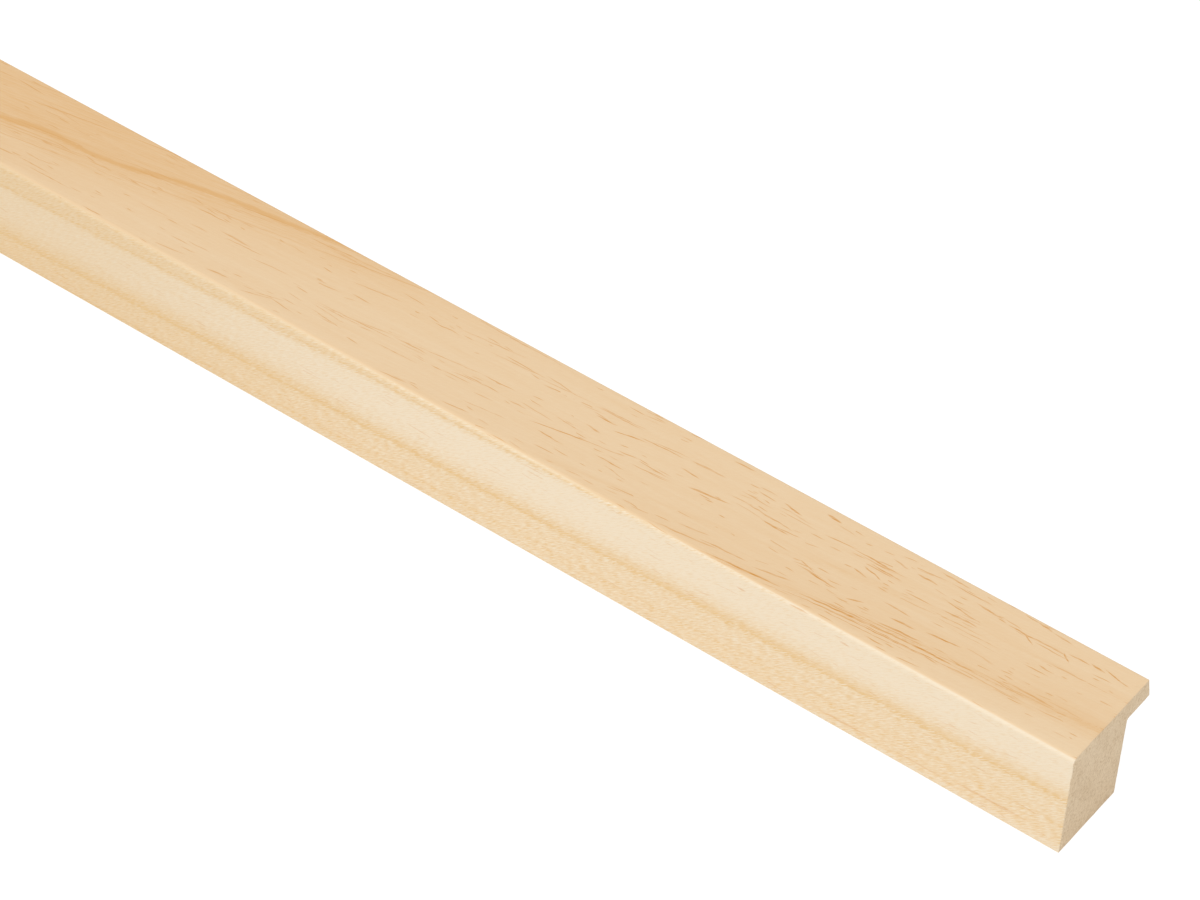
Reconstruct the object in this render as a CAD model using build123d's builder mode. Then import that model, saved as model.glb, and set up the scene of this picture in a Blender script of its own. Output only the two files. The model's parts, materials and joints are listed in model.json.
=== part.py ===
"""Picture frame moulding: one straight length of bare wood, machined to a rebated section.

Sizes are in millimetres, +Z is up. The moulding lies on its back face, as it would on a bench:
+X runs along the stock and +Y points across it to the sight edge, the edge next to the picture.
The origin is on the bench, below the middle of the length and of the overall width.
"""

import os

from build123d import *

# Stock
STOCK_LENGTH = 1000.0

# Section, measured square to the length
OVERALL_WIDTH = 21.4  # outer side to the foot of the sight edge
DEPTH = 20.0  # back face to face
LIP_THICKNESS = 4.1
REBATE_WIDTH = 6.1  # how far the lip reaches over the picture
SIGHT_EDGE_BEVEL = 1.0  # the sight edge leans back this far, from the lip's underside to the face

# Edges as the cutter and sandpaper leave them
OUTER_ARRIS_RADIUS = 0.8
SIGHT_ARRIS_RADIUS = 0.3
LIP_UNDER_RADIUS = 0.2
BACK_EDGE_RADIUS = 0.2
REBATE_CORNER_RADIUS = 0.4

# Places in the section that follow from these sizes: Y across, Z up
OUTER_SIDE_Y = -OVERALL_WIDTH / 2
SIGHT_EDGE_Y = OVERALL_WIDTH / 2
REBATE_WALL_Y = SIGHT_EDGE_Y - REBATE_WIDTH
LIP_UNDER_Z = DEPTH - LIP_THICKNESS

# The corners of the section with their radii, going round from the outer edge of the back face
SECTION_CORNERS = [
    ((OUTER_SIDE_Y, 0), BACK_EDGE_RADIUS),
    ((REBATE_WALL_Y, 0), BACK_EDGE_RADIUS),
    ((REBATE_WALL_Y, LIP_UNDER_Z), REBATE_CORNER_RADIUS),
    ((SIGHT_EDGE_Y, LIP_UNDER_Z), LIP_UNDER_RADIUS),
    ((SIGHT_EDGE_Y - SIGHT_EDGE_BEVEL, DEPTH), SIGHT_ARRIS_RADIUS),
    ((OUTER_SIDE_Y, DEPTH), OUTER_ARRIS_RADIUS),
]


def make_frame_moulding():
    """The section drawn across the stock, and run along its whole length between two square saw cuts."""
    points = [point for point, radius in SECTION_CORNERS]
    radii = [radius for point, radius in SECTION_CORNERS]
    with BuildPart() as moulding:
        with BuildSketch(Plane.YZ):
            with BuildLine():
                FilletPolyline(*points, radius=radii, close=True)
            make_face()
        extrude(amount=STOCK_LENGTH / 2, both=True)
    return moulding


os.makedirs("parts", exist_ok=True)
frame_moulding = make_frame_moulding()
frame_moulding.part.label = "frame_moulding"
export_step(frame_moulding.part, "parts/frame_moulding.step")
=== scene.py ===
import json
import math

import bmesh
import bpy
from bpy.props import FloatProperty, FloatVectorProperty, PointerProperty
from bpy.types import Operator, Panel, PropertyGroup
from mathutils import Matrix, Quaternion, Vector, noise


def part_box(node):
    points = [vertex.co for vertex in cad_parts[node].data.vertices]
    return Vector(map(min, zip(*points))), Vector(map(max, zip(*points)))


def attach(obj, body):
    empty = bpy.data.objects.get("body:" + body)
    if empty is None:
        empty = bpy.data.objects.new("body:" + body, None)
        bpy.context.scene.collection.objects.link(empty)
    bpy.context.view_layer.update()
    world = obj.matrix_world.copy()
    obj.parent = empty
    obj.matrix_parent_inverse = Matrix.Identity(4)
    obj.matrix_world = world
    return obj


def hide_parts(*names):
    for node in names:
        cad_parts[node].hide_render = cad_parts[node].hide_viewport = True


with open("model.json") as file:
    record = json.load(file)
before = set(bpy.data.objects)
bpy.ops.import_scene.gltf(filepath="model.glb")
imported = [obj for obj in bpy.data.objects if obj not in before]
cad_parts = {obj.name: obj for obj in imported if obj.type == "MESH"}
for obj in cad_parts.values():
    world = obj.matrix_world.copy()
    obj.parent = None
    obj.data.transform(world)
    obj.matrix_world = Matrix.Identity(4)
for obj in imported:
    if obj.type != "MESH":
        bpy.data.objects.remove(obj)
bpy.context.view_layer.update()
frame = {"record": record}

bl_info = {
    "name": "Picture frame moulding",
    "version": (1, 0, 0),
    "blender": (4, 5, 0),
    "location": "3D View > Sidebar > Moulding",
    "description": "Makes one length of bare hardwood picture frame moulding with a rebate, and its studio",
    "category": "Object",
}

# What the frame says. The moulding lies along X on its back, with its face up and its lip towards +Y.
NODE = "frame_moulding"
NODE_LOW, NODE_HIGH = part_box(NODE)
MOUNTS = {mount["name"]: Vector(mount["pos_m"]) for mount in frame["record"]["mounts"]}

MM = 0.001
SEED = 7

# Finishes, in the order of the mesh's material slots.
PLANED, MACHINED, SAWN = range(3)

# Edges that turn by more than this are shaded sharp.
SHARP_ANGLE = math.radians(28)

# Where the key light comes from, how brightly the floor glows to the camera, what colour its shadowed part
# takes, and how far the floor lies below the stock.
KEY_FROM = (0.03, -0.25, 0.30)
FLOOR_GLOW = 0.82
FLOOR_SHADE = (0.3, 0.3, 0.3)
FLOOR_GAP = 0.02 * MM
SENSOR_WIDTH = 36


def linear(red, green, blue):
    """A colour given as 0 to 255 on screen, as the linear values that sockets take."""
    def channel(value):
        share = value / 255
        return share / 12.92 if share <= 0.04045 else ((share + 0.055) / 1.055) ** 2.4
    return tuple(channel(value) for value in (red, green, blue))


def size_property(name, default, description):
    """A length in metres."""
    return FloatProperty(
        name=name, description=description, default=default, min=0, subtype="DISTANCE", unit="LENGTH"
    )


def colour_property(name, default, description):
    """A colour, with its default given as 0 to 255 on screen."""
    return FloatVectorProperty(
        name=name, description=description, default=linear(*default), size=3, min=0, max=1, subtype="COLOR"
    )


class MouldingSizes(PropertyGroup):
    """The section and the length of the moulding."""

    length: size_property("Length", NODE_HIGH.x - NODE_LOW.x, "Length of the stock between its sawn ends")
    width: size_property("Width", 2 * -NODE_LOW.y, "From the outer side to the foot of the sight edge")
    depth: size_property("Depth", NODE_HIGH.z - NODE_LOW.z, "From the back to the face")
    lip_thickness: size_property(
        "Lip thickness", NODE_HIGH.z - MOUNTS["rebate_seat"].z, "Thickness of the lip over the rebate"
    )
    rebate_width: size_property(
        "Rebate width", -NODE_LOW.y - MOUNTS["rebate_wall"].y, "How far the lip reaches over the picture"
    )
    sight_edge_lean: size_property(
        "Sight edge lean", 1 * MM, "How far the sight edge leans back up to the face"
    )
    outer_arris: size_property("Outer arris", 0.8 * MM, "Radius between the face and the outer side")
    sight_arris: size_property("Sight arris", 0.3 * MM, "Radius between the face and the sight edge")
    small_arris: size_property("Small arris", 0.2 * MM, "Radius of the back edges and the lip's lower edge")
    rebate_corner: size_property("Rebate corner", 0.4 * MM, "Radius in the rebate's inner corner")
    sawn_arris: size_property("Sawn arris", 0.10 * MM, "Tiny break of the edges round a sawn end")
    cell: size_property("Cell", 1.3 * MM, "Width of the small faces round the section and on the ends")
    station: size_property("Station", 5 * MM, "Distance between cross sections of the mesh")
    unevenness: size_property(
        "Unevenness", 0.03 * MM, "How far sanding has worn the surface below its true plane"
    )
    saw_depth: size_property("Saw depth", 0.03 * MM, "Depth of the marks of the saw")
    ragged: size_property("Ragged rim", 0.12 * MM, "How far the rim of a sawn end is broken")


class WoodColours(PropertyGroup):
    """Colours of the bare wood."""

    face_pale: colour_property("Face, pale", (237, 209, 171), "Earlywood on the face")
    face_deep: colour_property("Face, deep", (225, 179, 121), "Growth lines on the face")
    # The outer side's colours are paler and creamier than the face's. Partly this is painted light, standing
    # in for the brighter, washed-out light on that side, and partly it is the paler radial grain.
    side_pale: colour_property("Side, pale", (239, 222, 196), "Earlywood on the outer side")
    side_deep: colour_property("Side, deep", (229, 194, 141), "Growth lines on the outer side")
    # Painted highlight: the cream that the outer arris is lightened towards. It stands in for the light that
    # the arris's rounding catches.
    arris: colour_property("Arris", (250, 238, 214), "Worn outer arris")
    pore: colour_property("Pores", (212, 146, 58), "Inside of the cut vessels")
    end_pale: colour_property("End, pale", (233, 210, 178), "Wall of the end grain")
    end_deep: colour_property("End, deep", (198, 169, 131), "Pores and rays of the end grain")


class StageSettings(PropertyGroup):
    """Floor, light and camera."""

    floor_size: size_property("Floor size", 14.0, "Side of the square floor")
    floor_colour: colour_property("Floor", (240, 240, 238), "Colour of the floor")
    key_strength: FloatProperty(name="Key", description="Strength of the soft key light", default=1.23, min=0)
    fill_strength: FloatProperty(
        name="Fill", description="Strength of the even light all round", default=0.70, min=0
    )
    key_spread: FloatProperty(
        name="Key spread", description="Angle that the key light fills in the sky", default=math.radians(50),
        subtype="ANGLE",
    )
    look_at: FloatVectorProperty(
        name="Look at", description="Point that the camera looks at, from the front corner of the sawn end",
        default=(-90.8 * MM, 8.28 * MM, 0), size=3, subtype="XYZ", unit="LENGTH",
    )
    distance: size_property("Distance", 627.5 * MM, "From the camera to the point that it looks at")
    azimuth: FloatProperty(
        name="Azimuth", description="Turn of the view to the left of +Y", default=math.radians(35.184),
        subtype="ANGLE",
    )
    elevation: FloatProperty(
        name="Elevation", description="How far the camera looks down", default=math.radians(43.387),
        subtype="ANGLE",
    )
    roll: FloatProperty(
        name="Roll", description="Turn about the view axis", default=math.radians(2.911), subtype="ANGLE"
    )
    lens: FloatProperty(
        name="Lens", description="Focal length in millimetres on a 36 mm sensor", default=123.68
    )


class Wiring:
    """Adds nodes to one node tree and joins them."""

    def __init__(self, tree):
        self.tree = tree

    def node(self, kind, **settings):
        made = self.tree.nodes.new("ShaderNode" + kind)
        for name, value in settings.items():
            setattr(made, name, value)
        return made

    def feed(self, socket, value):
        if isinstance(value, bpy.types.NodeSocket):
            self.tree.links.new(value, socket)
        elif value is not None:
            socket.default_value = value

    def maths(self, operation, *values, clamp=False):
        made = self.node("Math", operation=operation, use_clamp=clamp)
        for socket, value in zip(made.inputs, values):
            self.feed(socket, value)
        return made.outputs[0]

    def add(self, first, *others):
        for other in others:
            first = self.maths("ADD", first, other)
        return first

    def times(self, first, *others):
        for other in others:
            first = self.maths("MULTIPLY", first, other)
        return first

    def join(self, x=0.0, y=0.0, z=0.0):
        made = self.node("CombineXYZ")
        for socket, value in zip(made.inputs, (x, y, z)):
            self.feed(socket, value)
        return made.outputs[0]

    def split(self, vector):
        made = self.node("SeparateXYZ")
        self.feed(made.inputs[0], vector)
        return made.outputs[:]

    def stretch(self, vector, scales):
        made = self.node("VectorMath", operation="MULTIPLY")
        self.feed(made.inputs[0], vector)
        made.inputs[1].default_value = scales
        return made.outputs[0]

    def smooth(self, value, low, high, bottom=0.0, top=1.0):
        """Goes smoothly from bottom to top while value goes from low to high."""
        made = self.node("MapRange", interpolation_type="SMOOTHSTEP")
        for socket, item in zip(made.inputs, (value, low, high, bottom, top)):
            self.feed(socket, item)
        return made.outputs[0]

    def blend(self, share, first, second):
        """A mix of two colours."""
        made = self.node("Mix", data_type="RGBA")
        self.feed(made.inputs[0], share)
        self.feed(made.inputs[6], first)
        self.feed(made.inputs[7], second)
        return made.outputs[2]

    def choose(self, share, first, second):
        """A mix of two values."""
        made = self.node("Mix", data_type="FLOAT")
        for socket, item in zip(made.inputs[0:1] + made.inputs[2:4], (share, first, second)):
            self.feed(socket, item)
        return made.outputs[0]

    def drift(self, place, amount, detail=1.0, roughness=0.5):
        """Noise about zero, up to about the amount each way."""
        made = self.node("TexNoise", noise_dimensions="3D")
        self.feed(made.inputs["Vector"], place)
        made.inputs["Scale"].default_value = 1.0
        made.inputs["Detail"].default_value = detail
        made.inputs["Roughness"].default_value = roughness
        return self.times(self.maths("SUBTRACT", made.outputs["Fac"], 0.5), 2 * amount)

    def profile(self, value, low, high, stops):
        """A value that follows given stops between low and high."""
        span = self.node("MapRange")
        for socket, item in zip(span.inputs, (value, low, high, 0.0, 1.0)):
            self.feed(socket, item)
        made = self.node("ValToRGB")
        self.feed(made.inputs[0], span.outputs[0])
        marks = made.color_ramp.elements
        while len(marks) < len(stops):
            marks.new(0.5)
        # The places come first, because setting them can put the stops in a new order.
        for mark, (place, tone) in zip(marks, stops):
            mark.position = (place - low) / (high - low)
        for mark, (place, tone) in zip(marks, stops):
            mark.color = (tone, tone, tone, tone)
        return made.outputs["Alpha"]


def shared_group(name, inputs, outputs):
    """A new node group, with its wiring, its input sockets by name and its output node."""
    tree = bpy.data.node_groups.new(name, "ShaderNodeTree")
    kinds = {"value": "NodeSocketFloat", "vector": "NodeSocketVector", "colour": "NodeSocketColor"}
    for socket, (kind, default) in inputs.items():
        made = tree.interface.new_socket(name=socket, in_out="INPUT", socket_type=kinds[kind])
        if default is not None:
            made.default_value = default
    for socket, kind in outputs.items():
        tree.interface.new_socket(name=socket, in_out="OUTPUT", socket_type=kinds[kind])
    entry = tree.nodes.new("NodeGroupInput")
    leaving = tree.nodes.new("NodeGroupOutput")
    return Wiring(tree), entry.outputs, leaving.inputs


def place_group(wiring, tree, **values):
    """Puts a shared group into a tree and sets its inputs. Underscores stand for blanks."""
    made = wiring.node("Group")
    made.node_tree = tree
    for name, value in values.items():
        wiring.feed(made.inputs[name.replace("_", " ").capitalize()], value)
    return made.outputs


# Growth layers. A layer's height is counted in millimetres at the front corner of the near sawn end, and it
# rises by these shares along and across. Each tone is a height and how deep the wood is there, from 0 to 1.
# Each line is a height, the tone that it adds, and how far it fades above and below itself.
LAYERS_FROM, LAYERS_TO = -24.0, 36.0
LAYER_RISE_ALONG = -0.031
LAYER_RISE_ACROSS = 0.16
FACE_TONES = (
    (-24, 0.20), (-14, 0.25), (-9, 0.24), (-3, 0.10), (0.3, 0.02), (1.1, 0.13), (1.6, 0.24), (2.0, 0.28),
    (2.6, 0.22), (3.2, 0.17), (4.2, 0.14), (6.1, 0.14), (6.7, 0.20), (7.3, 0.30), (7.8, 0.46), (8.2, 0.58),
    (9.2, 0.56), (11, 0.46), (14.5, 0.26), (17.5, 0.14), (20.5, 0.36), (21.5, 0.26), (25.5, 0.15),
    (28, 0.42), (29.2, 0.30), (34, 0.20),
)
FACE_LINES = (
    (-13.7, 0.30, 0.10, 0.30), (-8.15, 0.35, 0.10, 0.30), (2.05, 0.16, 0.10, 0.20), (3.3, 0.10, 0.10, 0.20),
    (8.15, 0.55, 0.12, 0.13), (14.4, 0.25, 0.10, 0.20), (20.7, 0.35, 0.08, 0.20), (28.2, 0.35, 0.08, 0.25),
)
SIDE_TONES = (
    (-24, 0.30), (-18.6, 0.30), (-17.9, 0.40), (-17.2, 0.54), (-16.3, 0.46), (-15.2, 0.44), (-14.0, 0.50),
    (-13.3, 0.42), (-10.2, 0.42), (-9.4, 0.46), (-8.9, 0.68), (-8.5, 0.78), (-7.9, 0.64), (-7.2, 0.46),
    (-6.3, 0.28), (-5.4, 0.16), (-4.3, 0.07), (-3, 0.01), (0.9, 0.02), (1.4, 0.10), (1.9, 0.34),
    (2.3, 0.50), (3, 0.46), (7, 0.44), (13, 0.20), (16, 0.32), (21, 0.12), (23.2, 0.30), (27.6, 0.10),
    (30.3, 0.24),
)
SIDE_LINES = (
    (-13.9, 0.16, 0.35, 0.40), (-8.75, 0.24, 0.40, 0.22), (2.3, 0.24, 0.40, 0.22), (8.2, 0.24, 0.50, 0.30),
    (15.2, 0.28, 0.50, 0.30), (22.3, 0.30, 0.50, 0.30), (29.4, 0.30, 0.50, 0.30),
)

# The vessel lines that stand out most. Each has its middle along and across, its length, its rise for each
# millimetre of length, its width and its strength. Across is below zero on the outer side.
MARKS = (
    (-44.0, 3.1, 11, 0.11, 0.34, 0.85), (-42.5, 3.7, 9, 0.10, 0.20, 0.55),
    (-41.0, 2.6, 13, 0.09, 0.18, 0.50), (-34.0, 4.1, 12, 0.06, 0.26, 0.65),
    (-27.5, 4.5, 7, 0.02, 0.34, 0.85), (-18.0, 4.7, 13, 0.02, 0.20, 0.40),
    (-33.5, 5.3, 7, 0.08, 0.36, 0.80), (-27.7, 8.0, 5.5, 0.12, 0.30, 0.80),
    (-59.0, 1.2, 13, 0.09, 0.30, 0.80), (-69.5, 3.4, 5, 0.14, 0.25, 0.50),
    (-63.5, 2.7, 8, 0.07, 0.30, 0.60), (-55.0, 3.2, 6, 0.20, 0.34, 0.55),
    (-70.0, 1.6, 11, 0.12, 0.34, 0.50), (-72.0, 10.8, 7, 0.14, 0.36, 0.75),
    (-75.5, 15.4, 6, 0.05, 0.42, 0.50), (-62.5, 12.8, 9, -0.06, 0.28, 0.60),
    (-60.5, 11.5, 5, -0.05, 0.34, 0.70), (-77.0, 12.9, 4, -0.05, 0.30, 0.55),
    (-54.5, 18.7, 2.6, -0.10, 0.50, 0.90), (-71.5, 19.4, 4, 0.06, 0.32, 0.60),
    (-60.4, 16.4, 3.4, -0.20, 0.36, 0.70), (-44.0, 15.2, 9, -0.02, 0.30, 0.70),
    (-42.0, 14.2, 5.5, -0.03, 0.30, 0.70), (-43.5, 12.8, 3.6, -0.26, 0.30, 0.70),
    (-45.0, 11.7, 2.6, -0.20, 0.30, 0.65), (-41.3, 17.1, 3, -0.12, 0.32, 0.50),
    (-36.4, 16.9, 3.6, 0.0, 0.34, 0.70), (-33.0, 19.4, 5, -0.04, 0.32, 0.60),
    (-29.0, 14.7, 7, -0.12, 0.28, 0.60), (-28.5, 13.2, 5.4, 0.04, 0.36, 0.55),
    (-25.5, 17.2, 5, -0.08, 0.30, 0.60), (-19.5, 16.6, 5, 0.0, 0.30, 0.70),
    (-15.0, 16.7, 7, 0.02, 0.24, 0.55), (-18.0, 16.0, 1.8, -0.60, 0.32, 0.65),
    (-17.4, 19.7, 2.8, -0.10, 0.34, 0.65), (-14.2, 19.3, 3.4, -0.12, 0.28, 0.50),
    (-11.8, 16.4, 1.6, -0.70, 0.40, 0.75), (-10.0, 17.3, 3.6, 0.02, 0.30, 0.65),
    (-7.0, 17.5, 2.4, -0.16, 0.34, 0.75), (-3.8, 17.5, 4.6, -0.22, 0.28, 0.70),
    (-9.5, 14.0, 7, 0.03, 0.24, 0.45), (-49.0, 6.9, 6, -0.08, 0.30, 0.75),
    (-52.0, 7.9, 3.2, -0.30, 0.26, 0.50), (-42.3, 6.5, 2.6, 0.34, 0.30, 0.65),
    (-34.2, 7.0, 4.2, 0.05, 0.34, 0.65), (-36.5, 8.9, 5, -0.03, 0.26, 0.50),
    (-12.0, 6.8, 8, 0.0, 0.32, 0.50), (-94.0, 14.2, 3.7, 0.03, 0.30, 0.75),
    (-89.0, 13.6, 5.5, 0.20, 0.25, 0.75), (-83.8, 14.7, 8, 0.05, 0.21, 0.70),
    (-97.5, 7.8, 10.9, 0.19, 0.24, 0.75), (-98.5, 5.7, 4.8, -0.05, 0.25, 0.65),
    (-98.0, 9.8, 5.1, -0.06, 0.21, 0.50), (-94.4, 11.4, 2.8, -0.10, 0.30, 0.60),
    (-88.0, 7.0, 5.3, 0.0, 0.25, 0.60), (-86.0, 5.7, 4.6, -0.15, 0.22, 0.45),
    (-112.0, 15.5, 11.5, 0.07, 0.21, 0.45), (-126.0, 15.1, 5.3, 0.06, 0.22, 0.50),
    (-140.0, 14.9, 9.2, 0.14, 0.24, 0.50), (-135.5, 7.9, 10.3, 0.17, 0.25, 0.35),
    (-113.8, 1.8, 5.1, 0.10, 0.24, 0.50), (-106.8, 8.3, 3.4, 0.0, 0.25, 0.50),
    (-115.0, 19.8, 17.2, 0.0, 0.22, 0.40), (-146.0, 19.0, 14.9, 0.06, 0.22, 0.35),
    (-147.0, 18.2, 9.2, 0.0, 0.22, 0.35), (-208.0, 16.3, 8, -0.12, 0.20, 0.30),
    (-203.0, 3.5, 7, 0.0, 0.20, 0.50), (-199.0, 2.7, 9, 0.02, 0.20, 0.45),
    (-204.5, 5.0, 4, 0.0, 0.22, 0.40), (-188.0, 0.9, 4, 0.05, 0.25, 0.55),
    (-172.5, 12.4, 7, 0.03, 0.25, 0.60), (-163.0, 9.8, 8, 0.05, 0.20, 0.50),
    (-154.5, 2.2, 6, 0.30, 0.22, 0.45), (-152.5, 3.2, 5, 0.28, 0.20, 0.40),
    (-169.0, 5.2, 5, 0.02, 0.20, 0.35), (-153.5, 18.4, 6, 0.05, 0.22, 0.45),
    (-180.0, 7.5, 7, 0.04, 0.18, 0.35), (-138.0, 7.4, 15, 0.06, 0.18, 0.55),
    (-141.0, 6.8, 10, 0.04, 0.16, 0.50), (-128.0, 8.4, 6, 0.03, 0.25, 0.50),
    (-142.0, 4.8, 6, -0.10, 0.22, 0.50), (-115.0, 8.5, 6, 0.02, 0.20, 0.45),
    (-92.5, 15.9, 8, 0.02, 0.24, 0.55), (-36.0, 3.0, 17, 0.06, 0.17, 0.80),
    (-31.0, 3.5, 19, 0.05, 0.15, 0.80), (-40.0, 3.4, 14, 0.10, 0.14, 0.80),
    (-38.0, 2.2, 16, 0.07, 0.14, 0.60), (-46.0, 2.2, 12, 0.12, 0.16, 0.70),
    (-22.0, 5.2, 15, 0.05, 0.14, 0.45), (-35.0, 4.7, 13, 0.07, 0.14, 0.60),
    (-13.0, 6.2, 15, 0.04, 0.14, 0.40), (-26.0, 11.4, 12, 0.05, 0.16, 0.45),
    (-28.0, 12.1, 9, 0.03, 0.16, 0.50), (-8.0, 14.0, 14, 0.04, 0.14, 0.40),
    (-24.0, 10.7, 8, 0.02, 0.14, 0.35), (-118.0, 17.0, 12, 0.10, 0.18, 0.45),
    (-103.0, 15.6, 10, 0.08, 0.18, 0.40), (-121.0, 9.6, 14, 0.12, 0.18, 0.45),
    (-129.0, 5.6, 9, 0.05, 0.18, 0.40), (-92.0, 16.2, 8, 0.05, 0.18, 0.50),
    (-91.0, 8.9, 7, 0.12, 0.18, 0.45), (-82.0, 9.0, 7, 0.05, 0.18, 0.50),
    (-110.0, 4.2, 8, 0.12, 0.18, 0.40), (-143.0, 6.0, 6, -0.08, 0.18, 0.40),
    (-205.5, 9.0, 3, 0.0, 0.38, 0.50), (-165.5, 10.3, 6, 0.0, 0.34, 0.45),
    (-162.5, 2.2, 4.4, 0.12, 0.36, 0.50), (-48.0, -0.3, 3.4, 0.0, 0.45, 0.40),
    (-39.6, -2.2, 1.8, 0.0, 0.35, 0.40), (-58.2, -2.7, 1.8, 0.0, 0.40, 0.35),
    (-38.0, -18.2, 11, 0.02, 0.45, 0.30), (-12.5, -17.2, 12, 0.03, 0.50, 0.30),
    (-25.0, -18.0, 8, 0.02, 0.35, 0.25),
)


def growth_layers():
    """Height of the growth layers, wavy and fuzzy, with their tones on the face and on the side."""
    wiring, entry, leaving = shared_group(
        "Growth layers",
        {"Place": ("vector", None), "Fuzz": ("value", 0)},
        {"Height": "value", "Face tone": "value", "Side tone": "value"},
    )
    place = entry["Place"]
    along, across, up = wiring.split(place)
    # On the face the layers lie flatter near the sawn end, and again far along the stick.
    flatter = wiring.add(
        wiring.smooth(along, -48.0, 0.0, 0.0, 1.05), wiring.smooth(along, -192.0, -212.0, 0.0, -0.36)
    )
    height = wiring.add(
        up,
        wiring.times(flatter, wiring.smooth(across, 2.0, 6.0)),
        wiring.times(along, LAYER_RISE_ALONG),
        wiring.times(across, LAYER_RISE_ACROSS),
        wiring.drift(wiring.stretch(place, (1 / 90, 1 / 30, 1 / 30)), 0.8),
        wiring.drift(wiring.stretch(place, (1 / 24, 1 / 4, 1 / 4)), 0.15),
        wiring.drift(wiring.stretch(place, (1 / 5, 1 / 0.6, 1 / 0.6)), 0.06, detail=2.0),
        entry["Fuzz"],
    )
    wiring.feed(leaving["Height"], height)
    for name, tones, lines in (("Face tone", FACE_TONES, FACE_LINES), ("Side tone", SIDE_TONES, SIDE_LINES)):
        tone = wiring.profile(height, LAYERS_FROM, LAYERS_TO, tones)
        for middle, strength, above, below in lines:
            lower = wiring.smooth(height, middle - below, middle)
            upper = wiring.smooth(height, middle + above, middle)
            tone = wiring.add(tone, wiring.times(lower, upper, strength))
        wiring.feed(leaving[name], tone)
    return wiring.tree


def vessel_lines():
    """Vessels cut along their length: short thin dashes, one to a cell, that thin out at both ends."""
    wiring, entry, leaving = shared_group(
        "Vessel lines",
        {
            "Along": ("value", 0), "Across": ("value", 0), "Cell length": ("value", 7),
            "Cell width": ("value", 1.1), "Length": ("value", 4), "Width": ("value", 0.22),
            "Lean": ("value", 0), "Share": ("value", 0.5), "Seed": ("value", 0),
        },
        {"Mask": "value"},
    )
    bent = wiring.join(wiring.times(entry["Along"], 1 / 2.4), entry["Across"], entry["Seed"])
    across = wiring.add(entry["Across"], wiring.drift(bent, 0.16))
    spot = wiring.join(
        wiring.add(wiring.maths("DIVIDE", entry["Along"], entry["Cell length"]), entry["Seed"]),
        wiring.maths("DIVIDE", across, entry["Cell width"]),
    )
    cells = wiring.node("TexVoronoi", voronoi_dimensions="2D", feature="F1")
    wiring.feed(cells.inputs["Vector"], spot)
    cells.inputs["Scale"].default_value = 1.0
    gap = wiring.node("VectorMath", operation="SUBTRACT")
    wiring.feed(gap.inputs[0], spot)
    wiring.feed(gap.inputs[1], cells.outputs["Position"])
    gap_along, gap_across = wiring.split(gap.outputs[0])[:2]
    parts = wiring.node("SeparateColor")
    wiring.feed(parts.inputs[0], cells.outputs["Color"])
    chance, size, depth = parts.outputs[:]
    run = wiring.times(gap_along, entry["Cell length"])
    turn = wiring.maths("FRACT", wiring.times(size, 17.0))
    lean = wiring.times(wiring.maths("SUBTRACT", turn, 0.5), entry["Lean"])
    off = wiring.maths("SUBTRACT", wiring.times(gap_across, entry["Cell width"]), wiring.times(run, lean))
    half_length = wiring.times(entry["Length"], wiring.add(wiring.times(size, 0.5), 0.2))
    half_width = wiring.times(entry["Width"], 0.5)
    run = wiring.maths("DIVIDE", run, half_length)
    off = wiring.maths("DIVIDE", off, half_width)
    reach = wiring.maths("SQRT", wiring.add(wiring.times(run, run), wiring.times(off, off)))
    dash = wiring.smooth(reach, 1.15, 0.3)
    there = wiring.maths("LESS_THAN", chance, entry["Share"])
    wiring.feed(leaving["Mask"], wiring.times(dash, there, wiring.add(wiring.times(depth, 0.6), 0.4)))
    return wiring.tree


def standing_marks():
    """The vessel lines that stand out, each a long thin spindle, as one mask."""
    wiring, entry, leaving = shared_group(
        "Standing marks", {"Along": ("value", 0), "Across": ("value", 0)}, {"Mask": "value"}
    )
    bent = wiring.join(wiring.times(entry["Along"], 1 / 2.2), wiring.times(entry["Across"], 0.7), 5.0)
    waver = wiring.drift(bent, 0.2)
    # Both wait for the same noise, so that the renderer works the marks out one after another.
    x, y = wiring.add(entry["Along"], waver), wiring.add(entry["Across"], waver)
    mask = None
    for along, across, length, rise, width, strength in MARKS:
        run = wiring.maths("MULTIPLY_ADD", x, 2 / length, -2 * along / length)
        off = wiring.maths("MULTIPLY_ADD", x, -2 * rise / width, 2 * (rise * along - across) / width)
        off = wiring.maths("MULTIPLY_ADD", y, 2 / width, off)
        reach = wiring.maths("MULTIPLY_ADD", off, off, wiring.times(run, run))
        spindle = wiring.smooth(reach, 1.5, 0.1, 0.0, strength)
        mask = spindle if mask is None else wiring.maths("MAXIMUM", mask, spindle)
    wiring.feed(leaving["Mask"], mask)
    return wiring.tree


def fibre_streaks():
    """Fine streaks along the fibres, and slow ones beside them, both about zero."""
    wiring, entry, leaving = shared_group(
        "Fibre streaks", {"Along": ("value", 0), "Across": ("value", 0)}, {"Fine": "value", "Slow": "value"}
    )
    fine = wiring.join(wiring.times(entry["Along"], 1 / 9), wiring.times(entry["Across"], 1 / 0.28))
    slow = wiring.join(wiring.times(entry["Along"], 1 / 38), wiring.times(entry["Across"], 1 / 1.7), 3.0)
    wiring.feed(leaving["Fine"], wiring.drift(fine, 1.0, detail=3.0, roughness=0.6))
    wiring.feed(leaving["Slow"], wiring.drift(slow, 1.0, detail=2.0))
    return wiring.tree


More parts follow.
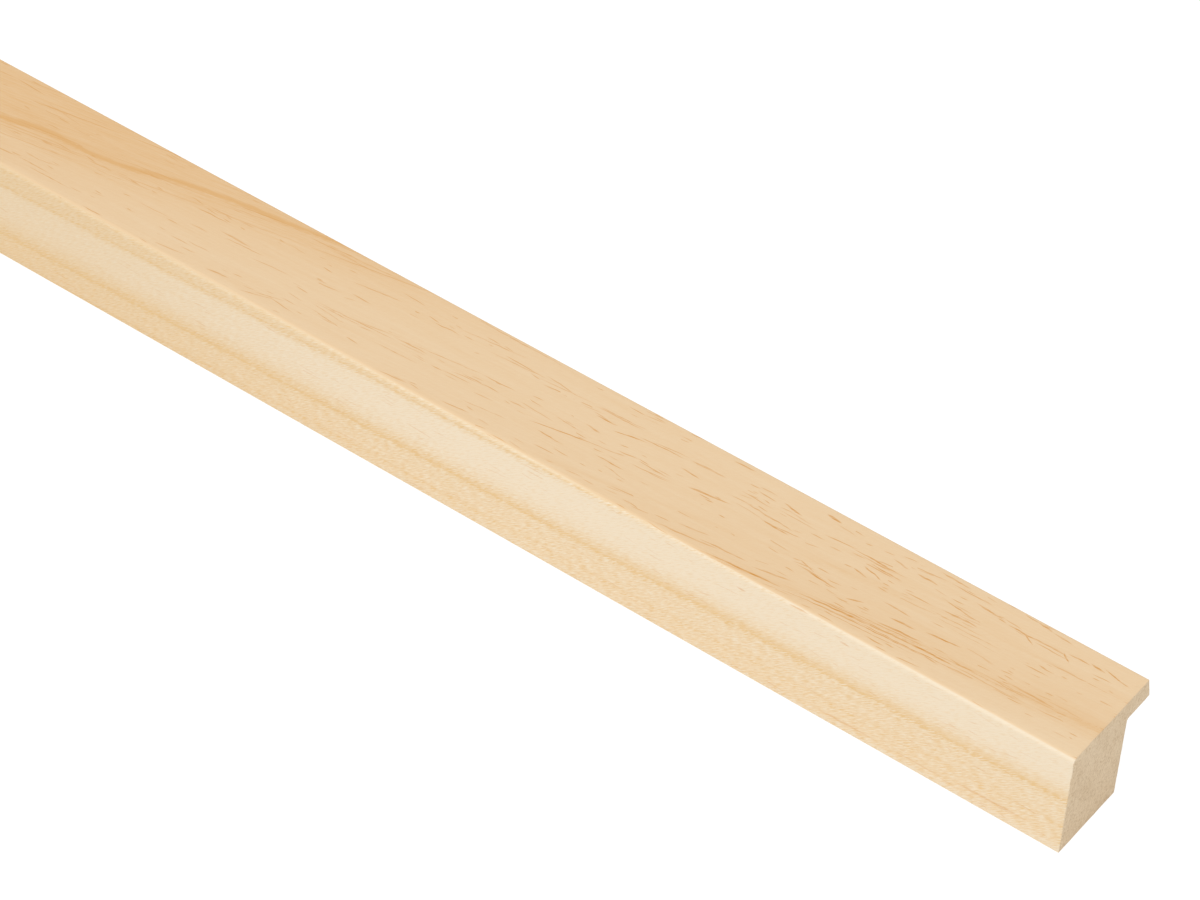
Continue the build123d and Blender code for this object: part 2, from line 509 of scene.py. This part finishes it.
def slanted_fuzz():
    """Short fuzzy strokes that rise across the grain, as on a radial surface, about zero."""
    wiring, entry, leaving = shared_group(
        "Slanted fuzz",
        {
            "Along": ("value", 0), "Across": ("value", 0), "Slope": ("value", 0.7), "Length": ("value", 1.2),
            "Width": ("value", 0.24),
        },
        {"Value": "value"},
    )
    cosine, sine = wiring.maths("COSINE", entry["Slope"]), wiring.maths("SINE", entry["Slope"])
    run = wiring.add(wiring.times(entry["Along"], cosine), wiring.times(entry["Across"], sine))
    off = wiring.maths("SUBTRACT", wiring.times(entry["Across"], cosine), wiring.times(entry["Along"], sine))
    spot = wiring.join(
        wiring.maths("DIVIDE", run, entry["Length"]), wiring.maths("DIVIDE", off, entry["Width"])
    )
    strokes = wiring.drift(spot, 1.0, detail=2.0, roughness=0.6)
    wiring.feed(leaving["Value"], wiring.smooth(strokes, -0.5, 0.5, -1.0, 1.0))
    return wiring.tree


def end_pores():
    """End grain: round pores, thin rays and speckle, as a tone from 0 to 1 and a height."""
    wiring, entry, leaving = shared_group(
        "End grain", {"Place": ("vector", None), "Layer": ("value", 0)}, {"Tone": "value", "Height": "value"}
    )
    along, across, up = wiring.split(entry["Place"])
    cells = wiring.node("TexVoronoi", voronoi_dimensions="3D", feature="F1")
    wiring.feed(cells.inputs["Vector"], wiring.stretch(entry["Place"], (1 / 30, 1 / 0.75, 1 / 0.75)))
    cells.inputs["Scale"].default_value = 1.0
    dots = wiring.smooth(cells.outputs["Distance"], 0.36, 0.14)
    leaning = wiring.maths("SUBTRACT", across, wiring.times(up, LAYER_RISE_ACROSS))
    rays = wiring.join(wiring.times(along, 1 / 20), wiring.times(leaning, 1 / 0.20), wiring.times(up, 1 / 3))
    rays = wiring.drift(rays, 1.0, detail=2.0)
    speckle = wiring.stretch(entry["Place"], (1 / 8, 1 / 0.42, 1 / 0.42))
    speckle = wiring.drift(speckle, 1.0, detail=2.0, roughness=0.7)
    cloud = wiring.drift(wiring.stretch(entry["Place"], (1 / 20, 1 / 4, 1 / 4)), 1.0, detail=2.0)
    tone = wiring.add(
        0.16,
        wiring.times(dots, 0.35),
        wiring.times(rays, 0.50),
        wiring.times(speckle, 0.95),
        wiring.times(cloud, 0.3),
        wiring.times(entry["Layer"], 0.3),
    )
    wiring.feed(leaving["Tone"], wiring.maths("MINIMUM", wiring.maths("MAXIMUM", tone, 0.0), 1.0))
    wiring.feed(leaving["Height"], wiring.add(wiring.times(dots, -0.6), wiring.times(speckle, 0.5)))
    return wiring.tree


def new_material(name):
    """A new material with its wiring and its Principled shader, and a vector of the place on the stock.

    Places are in millimetres from the top front corner of the near sawn end: along, across and up.
    """
    material = bpy.data.materials.new(name)
    material.use_nodes = True
    wiring = Wiring(material.node_tree)
    shader = material.node_tree.nodes["Principled BSDF"]
    coordinates = wiring.node("TexCoord")
    mapping = wiring.node("Mapping")
    wiring.feed(mapping.inputs["Vector"], coordinates.outputs["Object"])
    mapping.inputs["Location"].default_value = (-NODE_HIGH.x / MM, -NODE_LOW.y / MM, -NODE_HIGH.z / MM)
    mapping.inputs["Scale"].default_value = (1 / MM, 1 / MM, 1 / MM)
    return material, wiring, shader, mapping.outputs["Vector"]


def colour_of(value):
    """A colour as sockets take it, with its alpha."""
    return (*value, 1.0)


def finish_material(wiring, shader, colour, roughness, height, depth_mm):
    """Joins a colour, a roughness and a relief of the given depth to the shader."""
    wiring.feed(shader.inputs["Base Color"], colour)
    wiring.feed(shader.inputs["Roughness"], roughness)
    shader.inputs["Specular IOR Level"].default_value = 0.3
    bump = wiring.node("Bump")
    bump.inputs["Strength"].default_value = 1.0
    bump.inputs["Distance"].default_value = depth_mm * MM
    wiring.feed(bump.inputs["Height"], height)
    wiring.feed(shader.inputs["Normal"], bump.outputs["Normal"])


# Stretches of the stock in millimetres from its near end, over which one look goes over into another.
NEAR_FADE = (-200.0, -60.0)
FAR_FADE = (-90.0, -210.0)
FUZZY_FADE = (-120.0, -45.0)
PATCH_FADE = (-19.0, -9.0)
# The deeper patch of the face at the near end: its middle across, its lean, and where it ends and is full.
PATCH_ACROSS, PATCH_LEAN = 7.8, 0.02
PATCH_EDGE, PATCH_HEART = 2.6, 0.6


def planed_wood(colours, groups):
    """Face and outer side: planed and sanded bare wood."""
    material, wiring, shader, place = new_material("planed_wood")
    along, across, up = wiring.split(place)
    girth = wiring.add(across, up)
    on_face = wiring.maths("GREATER_THAN", girth, 0.0)
    soft_face = wiring.smooth(girth, -0.05, 0.45)
    near = wiring.smooth(along, *NEAR_FADE)
    far = wiring.smooth(along, *FAR_FADE)
    fuzz = place_group(wiring, groups["fuzz"], along=along, across=girth, slope=0.58, length=1.5, width=0.16)
    fuzz = wiring.times(fuzz["Value"], wiring.choose(on_face, 1.0, 0.12))
    blur = wiring.times(fuzz, wiring.smooth(along, *FUZZY_FADE, 0.18, 0.68))
    layers = place_group(wiring, groups["layers"], place=place, fuzz=blur)
    # The fibres rise a little along the stock and curve as they go.
    bend = wiring.drift(wiring.join(wiring.times(along, 1 / 22), wiring.times(girth, 1 / 7), 4.0), 0.7)
    fibre = wiring.add(girth, bend, wiring.times(along, wiring.choose(on_face, -0.022, -0.045)))
    leaning = wiring.maths("SUBTRACT", girth, wiring.times(along, 0.165))
    streaks = place_group(wiring, groups["streaks"], along=along, across=fibre)
    # Fine dark lines run beside each other in the growth lines of the face.
    bundle = place_group(wiring, groups["streaks"], along=wiring.times(along, 0.7), across=leaning)
    in_line = wiring.smooth(layers["Face tone"], 0.22, 0.42)
    cluster = wiring.drift(wiring.join(wiring.times(along, 1 / 18), wiring.times(fibre, 1 / 4), 9.0), 1.0)
    share = wiring.smooth(cluster, -0.30, 0.45, 0.05, 0.65)
    share = wiring.times(share, wiring.choose(on_face, 0.5, 1.0), wiring.choose(near, 0.55, 1.0))
    middle_lines = place_group(
        wiring, groups["vessels"], along=along, across=fibre, cell_length=7.5, cell_width=1.0,
        length=6.5, width=0.24, lean=0.22, share=wiring.times(share, 0.8), seed=2.0,
    )
    short_lines = place_group(
        wiring, groups["vessels"], along=along, across=fibre, cell_length=3.4, cell_width=0.7,
        length=2.8, width=0.22, lean=0.30, share=wiring.times(share, 0.6), seed=31.0,
    )
    long_lines = place_group(
        wiring, groups["vessels"], along=along, across=leaning, cell_length=24.0, cell_width=0.9,
        length=24.0, width=0.22, lean=0.03, share=wiring.times(in_line, 0.4), seed=77.0,
    )
    marks = place_group(wiring, groups["marks"], along=along, across=girth)
    strands = wiring.join(wiring.times(along, 1 / 1.8), wiring.times(leaning, 1 / 0.15), 6.0)
    strands = wiring.smooth(wiring.drift(strands, 1.0), -0.25, 0.25, 0.55, 1.25)
    pores = wiring.maths("MAXIMUM", middle_lines["Mask"], short_lines["Mask"])
    pores = wiring.maths("MAXIMUM", pores, long_lines["Mask"])
    pores = wiring.times(pores, wiring.choose(on_face, 0.30, 0.66))
    pores = wiring.times(pores, wiring.choose(near, 0.8, 1.0))
    from_patch = wiring.maths("ABSOLUTE", wiring.add(across, -PATCH_ACROSS, wiring.times(along, -PATCH_LEAN)))
    tan_patch = wiring.times(
        wiring.smooth(from_patch, PATCH_EDGE, PATCH_HEART), wiring.smooth(along, *PATCH_FADE)
    )
    face_tone = wiring.add(
        layers["Face tone"],
        wiring.times(bundle["Fine"], in_line, 0.40),
        wiring.times(streaks["Fine"], 0.20),
        wiring.times(streaks["Slow"], 0.14),
        wiring.times(fuzz, 0.6),
        wiring.times(tan_patch, 0.14),
        wiring.times(far, 0.05),
    )
    deep_fuzz = wiring.smooth(layers["Side tone"], 0.0, 0.6, 0.36, 0.58)
    side_tone = wiring.add(
        layers["Side tone"],
        wiring.times(streaks["Slow"], 0.06),
        wiring.times(streaks["Fine"], 0.10),
        wiring.times(fuzz, deep_fuzz),
        # Painted shade along the lower edge of the outer side: its lowest strip is lightened near the sawn
        # end only, and stays deeper farther along.
        wiring.times(wiring.smooth(girth, -18.4, -19.0), near, -0.10),
    )
    # The outer side is deeper and a little duller far along the stock.
    side_tone = wiring.choose(wiring.times(far, 0.38), side_tone, 1.0)
    face = wiring.blend(face_tone, colour_of(colours.face_pale), colour_of(colours.face_deep))
    # Painted light, in part: the outer side takes its paler colours, which stand partly for the brighter,
    # washed-out light on it.
    side = wiring.blend(side_tone, colour_of(colours.side_pale), colour_of(colours.side_deep))
    side = wiring.blend(wiring.times(far, 0.047), side, colour_of((0.0, 0.0, 0.0)))
    # Painted highlight along the outer arris: the side is lightened towards the arris colour there, more near
    # the sawn end than far along.
    arris = wiring.smooth(wiring.maths("ABSOLUTE", wiring.add(girth, 0.05)), 0.55, 0.05)
    side = wiring.blend(wiring.times(arris, wiring.choose(far, 0.16, 0.04)), side, colour_of(colours.arris))
    wood = wiring.blend(soft_face, side, face)
    every_line = wiring.maths("MAXIMUM", pores, wiring.times(marks["Mask"], strands))
    wood = wiring.blend(every_line, wood, colour_of(colours.pore))
    height = wiring.add(
        wiring.times(pores, -0.3), wiring.times(streaks["Fine"], 0.3), wiring.times(fuzz, 0.12)
    )
    roughness = wiring.add(0.58, wiring.times(pores, 0.2), wiring.times(streaks["Slow"], 0.06))
    finish_material(wiring, shader, wood, roughness, height, 0.05)
    return material


# Length in millimetres of one ripple that the cutter leaves.
RIPPLE = 1.4


def machined_wood(colours, groups):
    """Back, rebate, lip underside and sight edge: left as the cutters leave them."""
    material, wiring, shader, place = new_material("machined_wood")
    along, across, up = wiring.split(place)
    girth = wiring.add(across, up)
    fibre = wiring.maths("SUBTRACT", girth, wiring.times(along, 0.05))
    layers = place_group(wiring, groups["layers"], place=place)
    streaks = place_group(wiring, groups["streaks"], along=along, across=fibre)
    fuzz = place_group(wiring, groups["fuzz"], along=along, across=girth, slope=0.2, length=2.0, width=0.16)
    lines = place_group(
        wiring, groups["vessels"], along=along, across=fibre, cell_length=6.0, cell_width=1.0,
        length=5.0, width=0.24, share=0.4, seed=57.0,
    )
    pores = wiring.times(lines["Mask"], 0.7)
    tone = wiring.add(
        wiring.times(layers["Face tone"], 0.8),
        wiring.times(streaks["Fine"], 0.12),
        wiring.times(streaks["Slow"], 0.14),
        wiring.times(fuzz["Value"], 0.10),
    )
    wood = wiring.blend(tone, colour_of(colours.face_pale), colour_of(colours.face_deep))
    wood = wiring.blend(pores, wood, colour_of(colours.pore))
    # The cutter leaves faint ripples across the grain.
    ripples = wiring.maths("SINE", wiring.times(along, 2 * math.pi / RIPPLE))
    height = wiring.add(
        wiring.times(pores, -1.0), wiring.times(streaks["Fine"], 0.5), wiring.times(fuzz["Value"], 0.5),
        wiring.times(ripples, 0.12),
    )
    roughness = wiring.add(0.72, wiring.times(pores, 0.15))
    finish_material(wiring, shader, wood, roughness, height, 0.06)
    return material


def sawn_end(colours, groups):
    """The two sawn ends: end grain with the marks of a fine saw."""
    material, wiring, shader, place = new_material("sawn_end")
    along, across, up = wiring.split(place)
    layers = place_group(wiring, groups["layers"], place=place)
    grain = place_group(wiring, groups["end"], place=place, layer=layers["Face tone"])
    wood = wiring.blend(grain["Tone"], colour_of(colours.end_pale), colour_of(colours.end_deep))
    stroke = wiring.times(across, 1 / 14)
    tooth = wiring.times(wiring.add(up, wiring.times(across, 0.35)), 1 / 0.3)
    saw = wiring.drift(wiring.join(stroke, tooth, along), 1.0, detail=2.0)
    height = wiring.add(grain["Height"], wiring.times(saw, 0.6))
    finish_material(wiring, shader, wood, 0.8, height, 0.05)
    return material


def tangent_length(radius, before, corner, after):
    """How far from a corner of the section its rounding starts."""
    angle = (before - corner).angle(after - corner)
    return radius / math.tan(angle / 2)


def section_corners(sizes):
    """Corners of the section with their radii, from the outer back edge round under the lip to the face."""
    front, sight = NODE_LOW.y, NODE_LOW.y + sizes.width
    wall, seat = sight - sizes.rebate_width, sizes.depth - sizes.lip_thickness
    return [
        (Vector((0, front, 0)), sizes.small_arris),
        (Vector((0, wall, 0)), sizes.small_arris),
        (Vector((0, wall, seat)), sizes.rebate_corner),
        (Vector((0, sight, seat)), sizes.small_arris),
        (Vector((0, sight - sizes.sight_edge_lean, sizes.depth)), sizes.sight_arris),
        (Vector((0, front, sizes.depth)), sizes.outer_arris),
    ]


def is_end(face):
    """Whether a face of the mesh belongs to one of the sawn ends."""
    return abs(face.normal.x) > 0.9


# Points nearer than this are in the same place, and points nearer than this to a cut are on it.
SAME_PLACE = 0.0001 * MM
ON_CUT = 0.05 * MM
# Cuts through the section lie at this share of a cell, so that they miss its corners.
CUT_SHARE = 0.3
# How far from each sawn end the extra cuts lie.
END_CUTS = (0.8 * MM, 2.4 * MM)
# Steps of the wide outer arris and of the narrow ones.
WIDE_STEPS, NARROW_STEPS = 8, 5


def cut(mesh, place, direction):
    """Cuts the whole mesh along a plane."""
    everything = mesh.verts[:] + mesh.edges[:] + mesh.faces[:]
    bmesh.ops.bisect_plane(mesh, geom=everything, dist=ON_CUT, plane_co=place, plane_no=direction)


def at_corner(vert, corner):
    """Whether a vertex lies on the long edge through a corner of the section."""
    return abs(vert.co.y - corner.y) < SAME_PLACE and abs(vert.co.z - corner.z) < SAME_PLACE


def make_moulding(sizes):
    """The moulding's mesh: its section drawn out along its length, rounded and cut into small faces."""
    corners = section_corners(sizes)
    mesh = bmesh.new()
    start = Vector((NODE_LOW.x, 0, 0))
    section = mesh.faces.new([mesh.verts.new(start + point) for point, radius in corners])
    drawn = bmesh.ops.extrude_face_region(mesh, geom=[section])
    far_side = [item for item in drawn["geom"] if isinstance(item, bmesh.types.BMVert)]
    bmesh.ops.translate(mesh, verts=far_side, vec=(sizes.length, 0, 0))
    bmesh.ops.recalc_face_normals(mesh, faces=mesh.faces)
    for index, (point, radius) in enumerate(corners):
        before, after = corners[index - 1][0], corners[(index + 1) % len(corners)][0]
        edges = [edge for edge in mesh.edges if all(at_corner(vert, point) for vert in edge.verts)]
        bmesh.ops.bevel(
            mesh, geom=edges, offset=tangent_length(radius, before, point, after), offset_type="OFFSET",
            segments=WIDE_STEPS if radius > sizes.rebate_corner else NARROW_STEPS, profile=0.5,
            affect="EDGES", material=-1,
        )
    for step in range(1, int(sizes.width / sizes.cell)):
        cut(mesh, (0, NODE_LOW.y + (step + CUT_SHARE) * sizes.cell, 0), (0, 1, 0))
    for step in range(1, int(sizes.depth / sizes.cell)):
        cut(mesh, (0, 0, (step + CUT_SHARE) * sizes.cell), (0, 0, 1))
    for inset in END_CUTS:
        cut(mesh, (NODE_LOW.x + inset, 0, 0), (1, 0, 0))
        cut(mesh, (NODE_HIGH.x - inset, 0, 0), (1, 0, 0))
    # An odd number of cuts leaves one in the middle of the length.
    runs = [edge for edge in mesh.edges if edge.calc_length() > sizes.length / 2]
    cuts = 2 * int(sizes.length / sizes.station / 2) + 1
    bmesh.ops.subdivide_edges(mesh, edges=runs, cuts=cuts, use_grid_fill=True)
    rim = [edge for edge in mesh.edges if len({is_end(face) for face in edge.link_faces}) == 2]
    bmesh.ops.bevel(
        mesh, geom=rim, offset=sizes.sawn_arris, offset_type="OFFSET", segments=1, profile=0.5,
        affect="EDGES", material=-1,
    )
    return mesh


# The map for baking, in shares of its size. Two rows hold the halves of the length, with the ends above.
MAP_MARGIN = 0.005
ROW_LENGTH, ROW_HEIGHT, ROW_STEP = 0.99, 0.435, 0.45
ENDS_LEFT, ENDS_BOTTOM, ENDS_STEP = 0.01, 0.905, 0.50
END_WIDTH, END_HEIGHT = 0.47, 0.09


def lay_out_map(mesh, sizes):
    """A map for baking: the girth unrolled once for each half of the length, and both ends above."""
    outline = [point for point, radius in section_corners(sizes)]
    starts, total = [], 0.0
    for index, point in enumerate(outline):
        starts.append(total)
        total += (outline[(index + 1) % len(outline)] - point).length

    def girth(place):
        """How far round the outline the nearest point lies."""
        best = None
        for index, point in enumerate(outline):
            side = outline[(index + 1) % len(outline)] - point
            there = Vector((0, place.y, place.z)) - point
            share = min(max(there.dot(side) / side.length_squared, 0.0), 1.0)
            gap = (there - side * share).length
            if best is None or gap < best[0]:
                best = (gap, starts[index] + side.length * share)
        return best[1]

    uv = mesh.loops.layers.uv.new("OFBake")
    rounds = {vert: girth(vert.co) for vert in mesh.verts}
    for face in mesh.faces:
        right = face.calc_center_median().x > 0
        if is_end(face):
            for loop in face.loops:
                across = (loop.vert.co.y - NODE_LOW.y) / sizes.width
                up = loop.vert.co.z / sizes.depth
                loop[uv].uv = (
                    ENDS_LEFT + ENDS_STEP * right + END_WIDTH * across, ENDS_BOTTOM + END_HEIGHT * up
                )
            continue
        values = [rounds[loop.vert] for loop in face.loops]
        for loop, value in zip(face.loops, values):
            if max(values) - min(values) > total / 2 and value < total / 2:
                value += total
            share = (loop.vert.co.x - (0 if right else NODE_LOW.x)) / (sizes.length / 2)
            loop[uv].uv = (
                MAP_MARGIN + ROW_LENGTH * share, MAP_MARGIN + ROW_STEP * right + ROW_HEIGHT * value / total
            )


# Lengths in millimetres of the waves in the wear: of sanding along and across, of the saw's marks along and
# across the stroke, with the stroke's slant, and of the broken bits of a rim.
SANDING_LONG, SANDING_WIDE = 26, 7
SAW_LONG, SAW_WIDE, SAW_SLANT = 9, 1.6, 0.4
BROKEN_BIT = 0.9
# Shares of the raggedness that a rim goes in along the stock and across it.
RAGGED_ALONG, RAGGED_ACROSS = 0.5, 0.3


def waves(x, y, z):
    """Smooth seeded noise from 0 to 1."""
    return min(max(0.5 + 0.5 * noise.noise(Vector((x, y, z))), 0.0), 1.0)


def wear(mesh, sizes):
    """Sanding and sawing leave the surface a little below its true planes, and the sawn rims ragged."""
    moves = {}
    for vert in mesh.verts:
        x, y, z = vert.co / MM
        inward = -math.copysign(1.0, x)
        kinds = {is_end(face) for face in vert.link_faces}
        if True in kinds:
            saw = waves(y / SAW_LONG, (z + SAW_SLANT * y) / SAW_WIDE, inward * SEED)
            move = Vector((inward * sizes.saw_depth * saw, 0, 0))
        else:
            sanding = waves(x / SANDING_LONG, y / SANDING_WIDE, z / SANDING_WIDE + SEED)
            move = -vert.normal * (sizes.unevenness * sanding)
        if len(kinds) == 2:
            ragged = sizes.ragged * waves(y / BROKEN_BIT, z / BROKEN_BIT, inward * 3)
            flat = Vector((0, vert.normal.y, vert.normal.z))
            move += Vector((inward, 0, 0)) * ragged * RAGGED_ALONG
            if flat.length > 0.2:
                move -= flat.normalized() * ragged * RAGGED_ACROSS
        moves[vert] = move
    for vert, move in moves.items():
        vert.co += move


def finish_of(face, sizes):
    """Which finish a face of the mesh has."""
    if is_end(face):
        return SAWN
    seat = sizes.depth - sizes.lip_thickness
    low = face.center.z < seat + 0.2 * MM and face.center.y > NODE_LOW.y + 0.1 * MM
    on_sight_side = face.normal.y > 0.5
    return MACHINED if low or on_sight_side else PLANED


class MOULDING_OT_stock(Operator):
    """Make the length of moulding stock from the frame's section"""

    bl_idname = "moulding.stock"
    bl_label = "Make the moulding"

    def execute(self, context):
        sizes = context.scene.moulding_sizes
        mesh = make_moulding(sizes)
        lay_out_map(mesh, sizes)
        wear(mesh, sizes)
        data = bpy.data.meshes.new("moulding")
        mesh.to_mesh(data)
        mesh.free()
        colours = context.scene.moulding_colours
        groups = {
            "layers": growth_layers(), "vessels": vessel_lines(), "streaks": fibre_streaks(),
            "fuzz": slanted_fuzz(), "end": end_pores(), "marks": standing_marks(),
        }
        for make in (planed_wood, machined_wood, sawn_end):
            data.materials.append(make(colours, groups))
        for face in data.polygons:
            face.use_smooth = True
            face.material_index = finish_of(face, sizes)
        data.set_sharp_from_angle(angle=SHARP_ANGLE)
        moulding = bpy.data.objects.new("moulding", data)
        context.scene.collection.objects.link(moulding)
        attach(moulding, "root")
        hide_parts(NODE)
        return {"FINISHED"}


def floor_material(colour):
    """A pale floor that the camera sees as white but for the object's soft shadow."""
    material = bpy.data.materials.new("floor")
    material.use_nodes = True
    wiring = Wiring(material.node_tree)
    shader = material.node_tree.nodes["Principled BSDF"]
    leaving = material.node_tree.nodes["Material Output"]
    shader.inputs["Base Color"].default_value = colour_of(colour)
    shader.inputs["Roughness"].default_value = 1.0
    shader.inputs["Specular IOR Level"].default_value = 0.0
    glow = wiring.node("Emission")
    glow.inputs["Strength"].default_value = FLOOR_GLOW
    shade = wiring.node("BsdfDiffuse")
    shade.inputs["Color"].default_value = colour_of(FLOOR_SHADE)
    seen = wiring.node("AddShader")
    wiring.feed(seen.inputs[0], glow.outputs[0])
    wiring.feed(seen.inputs[1], shade.outputs[0])
    rays = wiring.node("LightPath")
    pick = wiring.node("MixShader")
    wiring.feed(pick.inputs[0], rays.outputs["Is Camera Ray"])
    wiring.feed(pick.inputs[1], shader.outputs[0])
    wiring.feed(pick.inputs[2], seen.outputs[0])
    wiring.feed(leaving.inputs["Surface"], pick.outputs[0])
    return material


def make_world(strength):
    """Even light all round that the camera sees as white."""
    world = bpy.data.worlds.new("studio")
    world.use_nodes = True
    wiring = Wiring(world.node_tree)
    sky = world.node_tree.nodes["Background"]
    sky.inputs["Color"].default_value = (1, 1, 1, 1)
    rays = wiring.node("LightPath")
    wiring.feed(sky.inputs["Strength"], wiring.choose(rays.outputs["Is Camera Ray"], strength, 1.0))
    return world


class MOULDING_OT_stage(Operator):
    """Set the pale floor, the soft light and the camera"""

    bl_idname = "moulding.stage"
    bl_label = "Set the stage"

    def execute(self, context):
        scene = context.scene
        settings = scene.moulding_stage
        mesh = bmesh.new()
        bmesh.ops.create_grid(mesh, x_segments=1, y_segments=1, size=settings.floor_size / 2)
        bmesh.ops.translate(mesh, verts=mesh.verts, vec=(0, 0, NODE_LOW.z - FLOOR_GAP))
        data = bpy.data.meshes.new("floor")
        mesh.to_mesh(data)
        mesh.free()
        data.materials.append(floor_material(settings.floor_colour))
        floor = bpy.data.objects.new("floor", data)
        scene.collection.objects.link(floor)

        scene.world = make_world(settings.fill_strength)
        key = bpy.data.objects.new("key", bpy.data.lights.new("key", "SUN"))
        key.data.energy = settings.key_strength
        key.data.angle = settings.key_spread
        key.rotation_mode = "QUATERNION"
        key.rotation_quaternion = Vector(KEY_FROM).to_track_quat("Z", "Y")
        scene.collection.objects.link(key)

        camera = bpy.data.objects.new("camera", bpy.data.cameras.new("camera"))
        camera.data.sensor_width = SENSOR_WIDTH
        camera.data.lens = settings.lens
        camera.data.clip_start = 0.01
        turn, drop = settings.azimuth, settings.elevation
        gaze = Vector((-math.sin(turn) * math.cos(drop), math.cos(turn) * math.cos(drop), -math.sin(drop)))
        corner = Vector((NODE_HIGH.x, NODE_LOW.y, NODE_HIGH.z))
        camera.location = corner + Vector(settings.look_at) - gaze * settings.distance
        camera.rotation_mode = "QUATERNION"
        camera.rotation_quaternion = gaze.to_track_quat("-Z", "Y") @ Quaternion((0, 0, 1), settings.roll)
        scene.collection.objects.link(camera)
        scene.camera = camera
        scene.view_settings.view_transform = "Standard"
        return {"FINISHED"}


class MOULDING_PT_panel(Panel):
    """Sizes and colours of the moulding, and the buttons that make it"""

    bl_idname = "MOULDING_PT_panel"
    bl_label = "Picture frame moulding"
    bl_space_type = "VIEW_3D"
    bl_region_type = "UI"
    bl_category = "Moulding"

    def draw(self, context):
        scene = context.scene
        for group in (scene.moulding_sizes, scene.moulding_colours, scene.moulding_stage):
            column = self.layout.column()
            for name in group.__annotations__:
                column.prop(group, name)
        self.layout.operator(MOULDING_OT_stock.bl_idname)
        self.layout.operator(MOULDING_OT_stage.bl_idname)


CLASSES = (MouldingSizes, WoodColours, StageSettings, MOULDING_OT_stock, MOULDING_OT_stage, MOULDING_PT_panel)


def register():
    for made in CLASSES:
        bpy.utils.register_class(made)
    bpy.types.Scene.moulding_sizes = PointerProperty(type=MouldingSizes)
    bpy.types.Scene.moulding_colours = PointerProperty(type=WoodColours)
    bpy.types.Scene.moulding_stage = PointerProperty(type=StageSettings)


def unregister():
    del bpy.types.Scene.moulding_stage
    del bpy.types.Scene.moulding_colours
    del bpy.types.Scene.moulding_sizes
    for made in reversed(CLASSES):
        bpy.utils.unregister_class(made)


def main():
    register()
    bpy.ops.moulding.stock()
    bpy.ops.moulding.stage()


if __name__ == "__main__":
    main()
